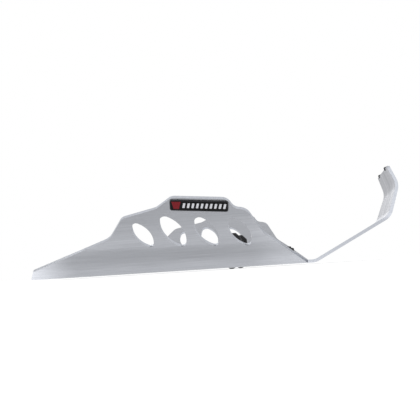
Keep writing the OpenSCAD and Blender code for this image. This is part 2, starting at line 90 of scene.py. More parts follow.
# %% Sizes of the folded sheet
FLOOR_HALF_WIDTH = 105 * MM
NOSE_FOLD_X = 184 * MM
RAMP_ANGLE, PANEL_ANGLE = 27.5, 70.0
RAMP_LENGTH, PANEL_LENGTH = 107.3 * MM, 44.4 * MM


def along(start, angle, length):
    """The point in side view that lies a length away from a start, at an angle above the floor."""
    return Vector((start.x + length * math.cos(math.radians(angle)),
                   start.y + length * math.sin(math.radians(angle))))


nose_fold = Vector((NOSE_FOLD_X, 0))
panel_fold = along(nose_fold, RAMP_ANGLE, RAMP_LENGTH)
lip_fold = along(panel_fold, PANEL_ANGLE, PANEL_LENGTH)
for fold in (panel_fold, lip_fold):
    print("nose fold in mm, along and up:", round(fold.x / MM, 1), round(fold.y / MM, 1))

# %% [markdown]
# ## Camera
# The photograph looks at the right-hand side, a little from the front, from the height of the
# plate's own floor. The place and the angles come from the vanishing point of the edges that run
# across the plate, so the near and the far side fall where the photograph has them.

# %% Camera
CAMERA_PLACE = Vector((186.44, -1066.22, 1.16)) * MM
CAMERA_ANGLES = (94.330, 3.659, 7.994)
CAMERA_LENS = 65.91

camera_data = bpy.data.cameras.new("camera")
camera_data.lens = CAMERA_LENS
camera_data.sensor_width = 36.0
camera_data.clip_start, camera_data.clip_end = 0.001, 100.0
camera = bpy.data.objects.new("camera", camera_data)
camera.location = CAMERA_PLACE
camera.rotation_euler = [math.radians(a) for a in CAMERA_ANGLES]
bpy.context.collection.objects.link(camera)
bpy.context.scene.camera = camera
print("camera distance in mm:", round((CAMERA_PLACE - (cad_low + cad_high) / 2).length / MM))

# %% [markdown]
# ## Materials
# Every material is built from nodes. A single small function adds a node with its settings and its
# inputs, and an input is either a plain value or another node's output.

# %% A function that adds a node


def add(tree, kind, settings=None, inputs=None):
    """Adds a node. Settings are its properties, or the stops of its colour ramp. An input, by name
    or number, is a value, an output to link, or a list of outputs."""
    made = tree.nodes.new(kind)
    for name, value in (settings or {}).items():
        if name == "stops":
            points = made.color_ramp.elements
            while len(points) < len(value):
                points.new(0.5)
            for point, (position, colour) in zip(points, value):
                point.position, point.color = position, colour
        else:
            setattr(made, name, value)
    for name, value in (inputs or {}).items():
        if isinstance(value, bpy.types.NodeSocket):
            value = [value]
        if isinstance(value, list):
            for source in value:
                tree.links.new(source, made.inputs[name])
        else:
            made.inputs[name].default_value = value
    return made


def start_material(name):
    """An empty material: its tree and its surface shader, ready for links."""
    material = bpy.data.materials.new(name)
    material.use_nodes = True
    tree = material.node_tree
    tree.nodes.clear()
    surface = add(tree, "ShaderNodeBsdfPrincipled")
    add(tree, "ShaderNodeOutputMaterial", inputs={"Surface": surface.outputs["BSDF"]})
    return material, tree, surface


print("colour ramps, links and plain values all go through one function")


# %% [markdown]
# The sheet is bare aluminium, brushed by a belt before it is cut and folded. To the eye that is a
# soft silver with fine lines along the plate, duller across them than along them. The grain runs
# along the blank and turns the corner at each fold, so the material reads a map of the flat blank,
# which a later cell measures off the sheet in metres. Object coordinates would cut straight through
# the folds. The real lines are about 0.1 mm apart, too fine to show, so they are drawn 1.1 mm
# apart, and they barely change along 70 mm.

# %% Lines along the blank
BLANK_MAP = "flat_blank"


def streaks(tree, length, spacing, detail):
    """Noise drawn out along the blank, as long and as close as the brush lines."""
    blank = add(tree, "ShaderNodeUVMap", {"uv_map": BLANK_MAP}).outputs["UV"]
    place = add(tree, "ShaderNodeMapping", inputs={
        "Vector": blank, "Scale": (1 / length, 1 / spacing, 1)}).outputs["Vector"]
    return add(tree, "ShaderNodeTexNoise", {"noise_dimensions": "2D"}, {
        "Vector": place, "Scale": 1.0, "Detail": detail, "Roughness": 0.6}).outputs["Fac"]


# %% Brushed aluminium
FINE_LINE, BROAD_LINE, HAND_LINE = 1.1 * MM, 8 * MM, 10 * MM
FINE_LENGTH, BROAD_LENGTH, HAND_LENGTH = 70 * MM, 200 * MM, 220 * MM
# The upturned nose was dressed by hand after folding. Its strokes are as broad as the photograph
# shows them, and stronger than the belt's lines
HAND_FROM, HAND_TO = NOSE_FOLD_X + 0.94 * RAMP_LENGTH, NOSE_FOLD_X + 1.1 * RAMP_LENGTH


def brushed_aluminium():
    material, tree, surface = start_material("brushed_aluminium")
    fine = streaks(tree, FINE_LENGTH, FINE_LINE, 3.0)
    broad = streaks(tree, BROAD_LENGTH, BROAD_LINE, 2.0)
    hand = streaks(tree, HAND_LENGTH, HAND_LINE, 3.0)
    belt = add(tree, "ShaderNodeMix", {"data_type": "FLOAT"},
               {"Factor": 0.15, "A": fine, "B": broad}).outputs[0]
    blank = add(tree, "ShaderNodeUVMap", {"uv_map": BLANK_MAP}).outputs["UV"]
    split = add(tree, "ShaderNodeSeparateXYZ", inputs={"Vector": blank}).outputs
    by_hand = add(tree, "ShaderNodeMapRange", inputs={
        "Value": split["X"], "From Min": HAND_FROM, "From Max": HAND_TO}).outputs["Result"]
    even = add(tree, "ShaderNodeValToRGB", {"stops": [
        (0.3, srgb("A1A3A8")), (0.7, srgb("ADAFB4"))]}, {"Fac": belt}).outputs["Color"]
    lively = add(tree, "ShaderNodeValToRGB", {"stops": [
        (0.36, srgb("A0A2A7")), (0.62, srgb("BBBCC1"))]}, {"Fac": hand}).outputs["Color"]
    # Sockets 6 and 7 of a Mix node are its two colours, and output 2 is the mixed colour
    colour = add(tree, "ShaderNodeMix", {"data_type": "RGBA"},
                 {0: by_hand, 6: even, 7: lively}).outputs[2]
    tree.links.new(colour, surface.inputs["Base Color"])
    rough = add(tree, "ShaderNodeMapRange", inputs={
        "Value": belt, "From Min": 0.3, "From Max": 0.7, "To Min": 0.46, "To Max": 0.34})
    tree.links.new(rough.outputs["Result"], surface.inputs["Roughness"])
    bump = add(tree, "ShaderNodeBump", inputs={
        "Strength": 0.14, "Distance": 0.04 * MM, "Height": belt})
    tree.links.new(bump.outputs["Normal"], surface.inputs["Normal"])
    surface.inputs["Metallic"].default_value = 1.0
    surface.inputs["Anisotropic"].default_value = 0.5
    surface.inputs["Anisotropic Rotation"].default_value = 0.25
    tangent = add(tree, "ShaderNodeTangent", {"direction_type": "UV_MAP", "uv_map": BLANK_MAP})
    tree.links.new(tangent.outputs["Tangent"], surface.inputs["Tangent"])
    return material


sheet_material = brushed_aluminium()
print("drawn line spacing in mm:", round(FINE_LINE / MM, 1),
      "and on the nose", round(HAND_LINE / MM, 1))

# %% [markdown]
# The wall that the laser leaves is bare metal too, but it was melted rather than brushed: finely
# ridged and paler. Part of that pale colour is painted highlight: the light that the upturned walls
# catch, put into the material. Its ridges are 0.3 mm apart on the real wall, drawn at 0.6 mm here.
# On a 4 mm sheet this pale line along every edge is what tells the eye how thick the plate is.

# %% Laser-cut aluminium, with painted highlight
RIDGE = 0.6 * MM


def laser_cut_with_painted_highlight():
    material, tree, surface = start_material("laser_cut_with_painted_highlight")
    blank = add(tree, "ShaderNodeUVMap", {"uv_map": BLANK_MAP}).outputs["UV"]
    ridges = add(tree, "ShaderNodeTexNoise", {"noise_dimensions": "2D"}, {
        "Vector": blank, "Scale": 1 / RIDGE, "Detail": 2.0, "Roughness": 0.6}).outputs["Fac"]
    # Paler than the brushed sheet: partly the cut's own tone, partly painted highlight of the light
    # on the upturned walls
    colour = add(tree, "ShaderNodeValToRGB", {"stops": [
        (0.3, srgb("B2B5BC")), (0.7, srgb("C4C7CE"))]}, {"Fac": ridges}).outputs["Color"]
    tree.links.new(colour, surface.inputs["Base Color"])
    bump = add(tree, "ShaderNodeBump", inputs={
        "Strength": 0.2, "Distance": 0.03 * MM, "Height": ridges})
    tree.links.new(bump.outputs["Normal"], surface.inputs["Normal"])
    surface.inputs["Metallic"].default_value = 1.0
    surface.inputs["Roughness"].default_value = 0.42
    return material


cut_wall_painted_highlight_material = laser_cut_with_painted_highlight()
print("sheet materials:", sheet_material.name, cut_wall_painted_highlight_material.name)

# %% [markdown]
# The other finishes are small: moulded rubber, black powder coat, zinc plate and black screws, and
# the badge's gloss resin with its two printed colours. Each has the texture that its process
# leaves, at its real size, read from Object coordinates.

# %% A function for grain


def grained(name, size, dark, light, roughness, height, metallic=0.0, specular=0.5):
    """A material whose colour, roughness and bump all follow one grain, in Object coordinates."""
    material, tree, surface = start_material(name)
    place = add(tree, "ShaderNodeTexCoord").outputs["Object"]
    fac = add(tree, "ShaderNodeTexNoise", inputs={
        "Vector": place, "Scale": 1 / size, "Detail": 2.0, "Roughness": 0.55}).outputs["Fac"]
    colour = add(tree, "ShaderNodeValToRGB", {"stops": [(0.3, srgb(dark)), (0.7, srgb(light))]},
                 {"Fac": fac}).outputs["Color"]
    tree.links.new(colour, surface.inputs["Base Color"])
    rough = add(tree, "ShaderNodeMapRange", inputs={
        "Value": fac, "From Min": 0.3, "From Max": 0.7,
        "To Min": roughness[0], "To Max": roughness[1]})
    tree.links.new(rough.outputs["Result"], surface.inputs["Roughness"])
    bump = add(tree, "ShaderNodeBump", inputs={"Strength": 0.5, "Distance": height, "Height": fac})
    tree.links.new(bump.outputs["Normal"], surface.inputs["Normal"])
    surface.inputs["Metallic"].default_value = metallic
    surface.inputs["Specular IOR Level"].default_value = specular
    return material


# %% Rubber, powder coat and plated steel
# Moulded EPDM rubber: dull, with a faint bloom
rubber = grained("moulded_rubber", 1.1 * MM, "17171A", "232326", (0.62, 0.78), 0.05 * MM)
# Powder coat: an orange peel of about 1 mm under an even gloss
powder_coat = grained("black_powder_coat", 0.9 * MM, "151517", "1F1F22", (0.36, 0.46), 0.05 * MM)
# Black zinc on screws: metal that is nearly black
black_zinc = grained("black_zinc", 0.8 * MM, "2A2A2D", "3B3B3F", (0.3, 0.45), 0.01 * MM,
                     metallic=1.0)
# Bright zinc: pale, faintly cloudy
bright_zinc = grained("bright_zinc", 2.5 * MM, "B6B9BE", "CFD2D6", (0.24, 0.36), 0.01 * MM,
                      metallic=1.0)
# Doming resin over a black print: nearly a mirror, with a slight wave
badge_resin = grained("badge_resin", 6 * MM, "08080A", "0E0E11", (0.12, 0.2), 0.03 * MM,
                      specular=0.12)
# The badge's raised rim, moulded in dark grey ABS: satin, so it draws one thin line round the black
badge_rim = grained("badge_rim_abs", 0.5 * MM, "26272B", "303136", (0.35, 0.45), 0.01 * MM,
                    specular=0.3)
# The two prints lie under clear resin: even colours with little gloss of their own
badge_red = grained("badge_red_print", 1.5 * MM, "6A121A", "75151E", (0.22, 0.3), 0.01 * MM,
                    specular=0.15)
badge_light = grained("badge_light_print", 1.5 * MM, "C0C1C6", "CCCDD1", (0.22, 0.3), 0.01 * MM,
                      specular=0.15)
print("materials:", len(bpy.data.materials))

# %% [markdown]
# ## Edges that catch the light
# A CAD solid has knife edges, and its mesh is loose triangles. A real part has an edge break of a
# few tenths of a millimetre, and that thin line is what the eye reads as thickness. Each copy is
# merged, its flat faces are joined, and every sharp edge gets a small round. The solid itself
# stays, hidden, and the copy stands for it. The solid itself stays for collision, and the copy
# stands for it.

# %% A function that softens a copy of a node
MERGE_DISTANCE = 0.002 * MM
# Faces that meet at less than the first angle are joined as one flat face. An edge that turns more
# than the second is rounded, and the shading breaks at one that still turns more than the third
FLAT_ANGLE, SHARP_ANGLE, CREASE_ANGLE = math.radians(0.4), math.radians(28), math.radians(50)
# Anything smaller than this after rounding is a stray sliver
SLIVER = 0.02 * MM


def merged(node_name):
    """A bmesh of a CAD node with its triangles joined into flat faces."""
    bm = bmesh.new()
    bm.from_mesh(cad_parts[node_name].data)
    bmesh.ops.remove_doubles(bm, verts=bm.verts, dist=MERGE_DISTANCE)
    bmesh.ops.dissolve_degenerate(bm, edges=bm.edges, dist=MERGE_DISTANCE)
    bmesh.ops.dissolve_limit(bm, angle_limit=FLAT_ANGLE, verts=bm.verts, edges=bm.edges)
    return bm


def break_edges(bm, radius, segments=2):
    """Rounds every sharp edge of a bmesh."""
    sharp = [e for e in bm.edges if len(e.link_faces) == 2 and e.calc_face_angle(0.0) > SHARP_ANGLE]
    bmesh.ops.bevel(bm, geom=sharp, offset=radius, offset_type="OFFSET", segments=segments,
                    profile=0.5, affect="EDGES", clamp_overlap=True, material=-1)
    bmesh.ops.remove_doubles(bm, verts=bm.verts, dist=SLIVER)
    bmesh.ops.dissolve_degenerate(bm, edges=bm.edges, dist=SLIVER)
    return len(sharp)


def finish_piece(name, bm, materials, node_names):
    """Turns a bmesh into a smooth piece that rides on the part and stands for its nodes."""
    mesh = bpy.data.meshes.new(name)
    bm.to_mesh(mesh)
    bm.free()
    for material in materials:
        mesh.materials.append(material)
    mesh.shade_smooth()
    mesh.set_sharp_from_angle(angle=CREASE_ANGLE)
    piece = bpy.data.objects.new(name, mesh)
    bpy.context.collection.objects.link(piece)
    weigh = piece.modifiers.new("flat_faces_stay_flat", "WEIGHTED_NORMAL")
    weigh.keep_sharp = True
    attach(piece, "root")
    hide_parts(*node_names)
    return piece


def softened(node_name, name, material, radius):
    """Makes a piece from a copy of a CAD node, with broken edges and one material."""
    bm = merged(node_name)
    count = break_edges(bm, radius)
    piece = finish_piece(name, bm, [material], [node_name])
    print(f"{name}: {count} edges broken, {len(piece.data.polygons)} faces")


# %% [markdown]
# ## The folded sheet
# The sheet gets the same treatment, and two things more. Each corner is given its place on the
# flat blank, so that the brush lines run true over every fold. And the walls that the laser cut
# get their own material, which is how the photograph shows them: a lighter line along the edge,
# partly their own tone and partly painted highlight.

# %% Place on the flat blank


def flat_blank(p):
    """Where a point of the folded sheet lay on the flat blank, in metres: along, across."""
    side = Vector((p.x, p.z))
    if p.x <= NOSE_FOLD_X:
        out = max(abs(p.y) - FLOOR_HALF_WIDTH, 0.0)
        across = min(abs(p.y), FLOOR_HALF_WIDTH) + math.hypot(out, p.z if out else 0.0)
        return p.x, math.copysign(across, p.y)
    if side.y > lip_fold.y:
        return NOSE_FOLD_X + RAMP_LENGTH + PANEL_LENGTH + (side - lip_fold).length, p.y
    if side.y > panel_fold.y:
        return NOSE_FOLD_X + RAMP_LENGTH + (side - panel_fold).length, p.y
    return NOSE_FOLD_X + (side - nose_fold).length, p.y


# %% Which faces the laser cut
FLANK_ANGLE, WING_ANGLE = math.radians(38), math.radians(48)
WING_FOOT_HEIGHT = 30 * MM
LIP_END_HEIGHT = 112 * MM
# How much of a normal must point along a direction for the face to look that way
LOOKS_THAT_WAY, LOOKS_STRAIGHT_UP = 0.6, 0.8


def is_cut(face):
    """True for a face that stands across the sheet."""
    centre, normal = face.calc_center_median(), face.normal
    if centre.x > NOSE_FOLD_X:
        lip_end = centre.z > LIP_END_HEIGHT and normal.z > LOOKS_STRAIGHT_UP
        return abs(normal.y) > LOOKS_THAT_WAY or lip_end
    if abs(centre.y) < FLOOR_HALF_WIDTH:
        return abs(normal.z) < LOOKS_THAT_WAY
    lean = WING_ANGLE if centre.z > WING_FOOT_HEIGHT else FLANK_ANGLE
    through = Vector((0, -math.copysign(math.sin(lean), centre.y), math.cos(lean)))
    return abs(normal.dot(through)) < LOOKS_THAT_WAY


# %% [markdown]
# The drawing gives the outline of the wings small corner radii. On the finished plate a belt has
# run round them, and they look softer. Every corner of the outline is an arc of short edges between
# two straight ones. Scaling that arc away from the point where the straight lines would meet gives
# the same corner with a larger radius, and moves nothing else.

# %% Corners of the sheet's rims
# An edge longer than this is straight, and shorter ones in a row are an arc of at most so many
STRAIGHT_EDGE, LONGEST_ARC = 5 * MM, 40
# Share of a straight edge that the arc at each of its ends may take up
ARC_SHARE = 0.45


def rim_corners(bm):
    """Each corner of the sheet's rims: its vertices, corner point, radius and most growth."""
    rims = {}
    for edge in bm.edges:
        if len(edge.link_faces) == 2 and is_cut(edge.link_faces[0]) != is_cut(edge.link_faces[1]):
            for vert in edge.verts:
                rims.setdefault(vert, []).append(edge)
    corners, started = [], set()
    for first, edges in rims.items():
        before = next((e for e in edges if e.calc_length() > STRAIGHT_EDGE), None)
        if len(edges) != 2 or before is None:
            continue
        arc, after = [first], next(e for e in edges if e is not before)
        while after.calc_length() <= STRAIGHT_EDGE and len(arc) < LONGEST_ARC:
            arc.append(after.other_vert(arc[-1]))
            onward = [e for e in rims[arc[-1]] if e is not after]
            if len(onward) != 1:
                break
            after = onward[0]
        if len(arc) < 3 or after.calc_length() <= STRAIGHT_EDGE or arc[-1] in started:
            continue
        started.add(first)
        lines = [before.other_vert(first).co, first.co, arc[-1].co, after.other_vert(arc[-1]).co]
        point = sum(intersect_line_line(*lines), Vector()) / 2
        turn = (lines[1] - lines[0]).angle(lines[3] - lines[2])
        run = (point - first.co).length
        room = ARC_SHARE * min(before.calc_length(), after.calc_length())
        corners.append((arc, point, run / math.tan(turn / 2), 1 + room / run))
    return corners


# %% Softer corners
EASED_ABOVE = 30 * MM
# A radius that is drawn smaller than the first number is dressed to the second
EASED_RADII = [(8 * MM, 12 * MM), (14 * MM, 15 * MM), (20 * MM, 26 * MM)]


def ease_corners(bm):
    """Gives the small corners of the wings their dressed radius, on both faces of the sheet."""
    moves = {}
    for arc, point, radius, most in rim_corners(bm):
        wanted = next((dressed for drawn, dressed in EASED_RADII if radius < drawn), radius)
        grow_by = min(wanted / radius, most)
        if point.z < EASED_ABOVE or point.x > NOSE_FOLD_X or grow_by <= 1:
            continue
        for vert in arc:
            moves[vert] = (grow_by - 1) * (vert.co - point)
            for edge in vert.link_edges:
                if all(is_cut(face) for face in edge.link_faces):
                    moves.setdefault(edge.other_vert(vert), moves[vert])
    for vert, move in moves.items():
        vert.co += move
    return len(moves)


# %% The sheet's piece
EDGE_BREAK = 0.35 * MM

sheet = merged("guard_plate")
print("corner points moved:", ease_corners(sheet))
sheet_edges = break_edges(sheet, EDGE_BREAK)
blank_layer = sheet.loops.layers.uv.new(BLANK_MAP)
for face in sheet.faces:
    # Cut walls take the pale material, whose colour holds a painted highlight
    face.material_index = 1 if is_cut(face) else 0
    for corner in face.loops:
        corner[blank_layer].uv = flat_blank(corner.vert.co)
cut_faces = sum(face.material_index for face in sheet.faces)
print("sheet:", sheet_edges, "edges broken,", cut_faces, "cut faces of", len(sheet.faces))
finish_piece("folded_sheet", sheet, [sheet_material, cut_wall_painted_highlight_material], ["guard_plate"])

# %% [markdown]
# ## Shapes that repeat
# The badge carries a row of equal bars, and a screw's thread repeats one ridge turn after turn.
# Both could be copied by hand, but Geometry Nodes make them from a few numbers that can be changed
# at any time. A tree is built here with named inputs, run once on an empty object, and its result
# is kept as a plain mesh.

# %% Start and run a Geometry Nodes tree


def start_tree(name, numbers):
    """A tree with one float input for each name in numbers, and a count and a material input."""
    tree = bpy.data.node_groups.new(name, "GeometryNodeTree")
    sockets = tree.interface
    sockets.new_socket("Geometry", in_out="OUTPUT", socket_type="NodeSocketGeometry")
    for label in numbers:
        sockets.new_socket(label, in_out="INPUT", socket_type="NodeSocketFloat")
    sockets.new_socket("Count", in_out="INPUT", socket_type="NodeSocketInt")
    sockets.new_socket("Material", in_out="INPUT", socket_type="NodeSocketMaterial")
    return tree, add(tree, "NodeGroupInput").outputs


def end_tree(tree, given, instances):
    """Makes the instances real, gives them the material and sends them out."""
    real = add(tree, "GeometryNodeRealizeInstances", inputs={"Geometry": instances})
    coated = add(tree, "GeometryNodeSetMaterial", inputs={
        "Geometry": real.outputs[0], "Material": given["Material"]})
    add(tree, "NodeGroupOutput", inputs={"Geometry": coated.outputs[0]})


def grow(tree, values):
    """The plain mesh that a tree makes from these input values."""
    carrier = bpy.data.objects.new(tree.name, bpy.data.meshes.new(tree.name))
    bpy.context.collection.objects.link(carrier)
    modifier = carrier.modifiers.new(tree.name, "NODES")
    modifier.node_group = tree
    for socket in tree.interface.items_tree:
        if socket.in_out == "INPUT":
            modifier[socket.identifier] = values[socket.name]
    depsgraph = bpy.context.evaluated_depsgraph_get()
    mesh = bpy.data.meshes.new_from_object(carrier.evaluated_get(depsgraph), depsgraph=depsgraph)
    carrier.modifiers.remove(modifier)
    bpy.data.objects.remove(carrier)
    print(tree.name, "grew", len(mesh.polygons), "faces")
    return mesh


# %% [markdown]
# A tree makes its shapes round the origin, so each result has to be laid where the CAD model has
# it. The solids of a node tell that: the middles of the first and the last one give the start and
# the direction of a row.

# %% Middles of the solids of a node


def solid_middles(node_name):
    """The middle of each separate solid of a CAD node, from back to front and right to left."""
    bm = merged(node_name)
    waiting, middles = set(bm.verts), []
    while waiting:
        edge_of_search, found = [waiting.pop()], []
        while edge_of_search:
            vert = edge_of_search.pop()
            found.append(vert.co.copy())
            for edge in vert.link_edges:
                other = edge.other_vert(vert)
                if other in waiting:
                    waiting.remove(other)
                    edge_of_search.append(other)
        low = Vector([min(p[i] for p in found) for i in range(3)])
        high = Vector([max(p[i] for p in found) for i in range(3)])
        middles.append((low + high) / 2)
    bm.free()
    return sorted(middles, key=lambda p: (round(p.x, 4), round(p.y, 4)))


bar_middles = solid_middles("badge_bars")
screw_middles = solid_middles("bracket_screws")
print("bars:", len(bar_middles), "bracket screws:", len(screw_middles))

# %% [markdown]
# ## Badge
# The badge is a thin plate under clear resin with a raised rim, stuck on the tab of the right wing.
# It carries plain shapes only: one red shape and a row of slanted light bars. The plate and the red
# shape are softened copies. The rim is the part of the plate that stands above the bars, so a
# height along the badge's own outward direction picks its faces.

# %% Which way the badge faces
plate_face = max(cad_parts["badge_plate"].data.polygons, key=lambda face: face.area).normal
badge_out = -plate_face if plate_face.y > 0 else plate_face.copy()
badge_row = (bar_middles[-1] - bar_middles[0]).normalized()
badge_up = badge_out.cross(badge_row).normalized()
badge_middle = solid_middles("badge_plate")[0]
print("badge faces", [round(c, 3) for c in badge_out], "row", [round(c, 3) for c in badge_row])

# %% The badge's size on the tab
# Set against the photograph, the badge is a little longer and taller than its solid
BADGE_LONGER, BADGE_TALLER = 1.04, 1.13

badge_axes = Matrix((badge_row, badge_up, badge_out)).transposed().to_4x4()
to_badge = Matrix.Translation(badge_middle) @ badge_axes
fit_badge = to_badge @ Matrix.Diagonal((BADGE_LONGER, BADGE_TALLER, 1, 1)) @ to_badge.inverted()
print("badge middle in mm:", [round(c / MM, 1) for c in badge_middle])

# %% Badge plate, rim and red shape
RIM_ABOVE_BARS = 0.1 * MM
PLATE_BREAK, PRINT_BREAK = 0.18 * MM, 0.05 * MM

plate = merged("badge_plate")
break_edges(plate, PLATE_BREAK)
for face in plate.faces:
    height = (face.calc_center_median() - bar_middles[0]).dot(badge_out)
    face.material_index = 1 if height > RIM_ABOVE_BARS else 0
print("rim faces:", sum(face.material_index for face in plate.faces))
plate.transform(fit_badge)
finish_piece("badge_base", plate, [badge_resin, badge_rim], ["badge_plate"])
red_shape = merged("badge_emblem")
break_edges(red_shape, PRINT_BREAK, segments=1)
red_shape.transform(fit_badge)
finish_piece("badge_red_shape", red_shape, [badge_red], ["badge_emblem"])

# %% [markdown]
# One bar is a slanted outline with rounded corners, filled and raised. Points on a line carry one
# bar each. The sizes are the drawing's own.

# %% A tree for a row of bars


def bar_row_tree():
    tree, given = start_tree("badge_bar_row", [
        "Pitch", "Width", "Height", "Slant", "Corner", "Thickness"])
    outline = add(tree, "GeometryNodeCurvePrimitiveQuadrilateral", {"mode": "PARALLELOGRAM"}, {
        "Width": given["Width"], "Height": given["Height"], "Offset": given["Slant"]})
    rounded = add(tree, "GeometryNodeFilletCurve", {"mode": "POLY"}, {
        "Curve": outline.outputs[0], "Count": 3, "Radius": given["Corner"]})
    front = add(tree, "GeometryNodeFillCurve", {"mode": "NGONS"}, {"Curve": rounded.outputs[0]})
    raised = add(tree, "GeometryNodeExtrudeMesh", {"mode": "FACES"}, {
        "Mesh": front.outputs[0], "Offset Scale": given["Thickness"]})
    back = add(tree, "GeometryNodeFlipFaces", inputs={"Mesh": front.outputs[0]})
    whole = add(tree, "GeometryNodeJoinGeometry", inputs={
        "Geometry": [raised.outputs[0], back.outputs[0]]})
    closed = add(tree, "GeometryNodeMergeByDistance", inputs={
        "Geometry": whole.outputs[0], "Distance": 0.001 * MM})
    step = add(tree, "ShaderNodeCombineXYZ", inputs={"X": given["Pitch"]})
    line = add(tree, "GeometryNodeMeshLine", {"mode": "OFFSET"}, {
        "Count": given["Count"], "Offset": step.outputs[0]})
    row = add(tree, "GeometryNodeInstanceOnPoints", inputs={
        "Points": line.outputs[0], "Instance": closed.outputs[0]})
    end_tree(tree, given, row.outputs[0])
    return tree


# %% The row of bars
BAR_WIDTH, BAR_HEIGHT, BAR_THICKNESS = 2.6 * MM, 6.2 * MM, 0.175 * MM
BAR_SLANT, BAR_CORNER = 0.2 * BAR_HEIGHT, 0.5 * MM

bar_pitch = (bar_middles[-1] - bar_middles[0]).length / (len(bar_middles) - 1)
bar_mesh = grow(bar_row_tree(), {
    "Count": len(bar_middles), "Pitch": bar_pitch, "Width": BAR_WIDTH, "Height": BAR_HEIGHT,
    "Slant": BAR_SLANT, "Corner": BAR_CORNER, "Thickness": BAR_THICKNESS,
    "Material": badge_light})
on_badge = Matrix.Translation(bar_middles[0] - badge_out * BAR_THICKNESS / 2) @ badge_axes
bar_mesh.transform(fit_badge @ on_badge)
row = bmesh.new()
row.from_mesh(bar_mesh)
bmesh.ops.recalc_face_normals(row, faces=row.faces)
finish_piece("badge_light_bars", row, [badge_light], ["badge_bars"])
print("bar pitch in mm:", round(bar_pitch / MM, 2))

# %% [markdown]
# ## Rubber
# The buffers and bushes are moulded EPDM, and a mould leaves generous rounds. Their shapes are
# right in the CAD model, so softened copies do.

# %% Rubber pieces
softened("lip_buffers", "lip_rubber_caps", rubber, 0.25 * MM)
softened("floor_buffers", "floor_rubber_posts", rubber, 0.4 * MM)
softened("bracket_bushes", "bracket_rubber_bushes", rubber, 0.5 * MM)

# %% [markdown]
# ## Brackets and fasteners
# Two bent brackets carry the plate, each held to it by one M5 screw with a washer and a nut.
# Stamped and turned steel has tight edges, so the rounds are small.

# %% Brackets, sleeves and washers
softened("hanger_brackets", "hanger_bracket_pair", powder_coat, 0.4 * MM)
softened("bush_sleeves", "bush_sleeve_pair", bright_zinc, 0.3 * MM)
softened("bracket_washers", "bracket_washer_pair", bright_zinc, 0.12 * MM)
softened("buffer_inserts", "buffer_insert_pair", bright_zinc, 0.15 * MM)
softened("buffer_screws", "buffer_screw_pair", black_zinc, 0.15 * MM)

# %% [markdown]
# A hexagon nut is turned to a blunt cone before it is cut off, which rounds its six corners into
# curved facets. The drawing leaves that out. Here a hexagonal prism, a wide cone and a bore are
# combined by Booleans, because that is how the real nut gets its shape.

# %% A tree for nuts
CONE_RISE, CONE_SPARE, CONE_DEPTH = math.tan(math.radians(30)), 0.05 * MM, 8 * MM
# The flat top left by the cone, as a share of the width across the flats, from its middle
CONE_TOP = 0.47


def nut_tree():
    tree, given = start_tree("chamfered_nuts", ["Across Flats", "Height", "Bore", "Spacing"])
    corner = add(tree, "ShaderNodeMath", {"operation": "MULTIPLY"}, {
        0: given["Across Flats"], 1: 0.5 / math.cos(math.radians(30))}).outputs[0]
    prism = add(tree, "GeometryNodeMeshCylinder", {"fill_type": "NGON"}, {
        "Vertices": 6, "Radius": corner, "Depth": given["Height"]}).outputs["Mesh"]
    narrow = add(tree, "ShaderNodeMath", {"operation": "MULTIPLY"}, {
        0: given["Across Flats"], 1: CONE_TOP}).outputs[0]
    wide = add(tree, "ShaderNodeMath", {"operation": "ADD"}, {
        0: narrow, 1: CONE_DEPTH / CONE_RISE}).outputs[0]
    cone = add(tree, "GeometryNodeMeshCone", {"fill_type": "NGON"}, {
        "Vertices": 48, "Radius Top": narrow, "Radius Bottom": wide, "Depth": CONE_DEPTH})
    half = add(tree, "ShaderNodeMath", {"operation": "MULTIPLY"}, {
        0: given["Height"], 1: 0.5}).outputs[0]
    foot = add(tree, "ShaderNodeMath", {"operation": "SUBTRACT"}, {
        0: half, 1: CONE_DEPTH - CONE_SPARE}).outputs[0]
    lowered = add(tree, "ShaderNodeCombineXYZ", inputs={"Z": foot}).outputs[0]
    placed = add(tree, "GeometryNodeTransform", inputs={
        "Geometry": cone.outputs["Mesh"], "Translation": lowered}).outputs[0]
    turned = add(tree, "GeometryNodeMeshBoolean", {"operation": "INTERSECT", "solver": "EXACT"}, {
        1: [prism, placed]}).outputs[0]
    radius = add(tree, "ShaderNodeMath", {"operation": "MULTIPLY"}, {
        0: given["Bore"], 1: 0.5}).outputs[0]
    drill = add(tree, "GeometryNodeMeshCylinder", {"fill_type": "NGON"}, {
        "Vertices": 48, "Radius": radius, "Depth": CONE_DEPTH}).outputs["Mesh"]
    drilled = add(tree, "GeometryNodeMeshBoolean", {"operation": "DIFFERENCE", "solver": "EXACT"}, {
        0: turned, 1: [drill]}).outputs[0]
    step = add(tree, "ShaderNodeCombineXYZ", inputs={"Y": given["Spacing"]})
    line = add(tree, "GeometryNodeMeshLine", {"mode": "OFFSET"}, {
        "Count": given["Count"], "Offset": step.outputs[0]})
    pair = add(tree, "GeometryNodeInstanceOnPoints", inputs={
        "Points": line.outputs[0], "Instance": drilled})
    end_tree(tree, given, pair.outputs[0])
    return tree


# %% Nuts of the bracket screws
ACROSS_FLATS, NUT_BORE = 8 * MM, 5.04 * MM

nut_middles = solid_middles("bracket_nuts")
nut_low, nut_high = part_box("bracket_nuts")
nut_mesh = grow(nut_tree(), {
    "Count": 2, "Spacing": nut_middles[-1].y - nut_middles[0].y, "Across Flats": ACROSS_FLATS,
    "Height": nut_high.z - nut_low.z, "Bore": NUT_BORE, "Material": bright_zinc})
nut_mesh.transform(Matrix.Translation(nut_middles[0]))
nut_pair = bmesh.new()
nut_pair.from_mesh(nut_mesh)
bmesh.ops.remove_doubles(nut_pair, verts=nut_pair.verts, dist=MERGE_DISTANCE)
finish_piece("bracket_nut_pair", nut_pair, [bright_zinc], ["bracket_nuts"])
print("nut height in mm:", round((nut_high.z - nut_low.z) / MM, 2))

